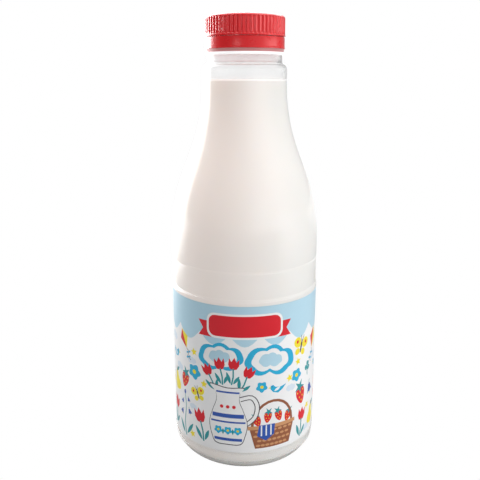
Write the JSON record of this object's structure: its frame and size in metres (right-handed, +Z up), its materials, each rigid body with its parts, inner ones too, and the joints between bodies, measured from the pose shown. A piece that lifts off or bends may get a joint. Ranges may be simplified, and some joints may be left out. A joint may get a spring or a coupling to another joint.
{
  "type": "plastic milk bottle",
  "caption": "Clear one-litre plastic bottle full of milk, with a round shoulder, a wrap label and a ribbed red screw cap over a loose ring.",
  "frame": {"origin": "on the ground, under the middle of the base", "axes": "+Z up along the bottle's axis, towards the cap"},
  "size_m": [0.0848, 0.0848, 0.2508],
  "materials": {
    "clear_plastic": "clear, thin and glossy",
    "milk": "white, smooth and opaque",
    "label_film": "printed film, semi gloss",
    "red_plastic": "moulded, semi gloss"
  },
  "bodies": {
    "root": {"bottle": "clear_plastic", "milk": "milk", "label": "label_film", "cap": "red_plastic", "tamper_band": "red_plastic"}
  },
  "joints": []
}
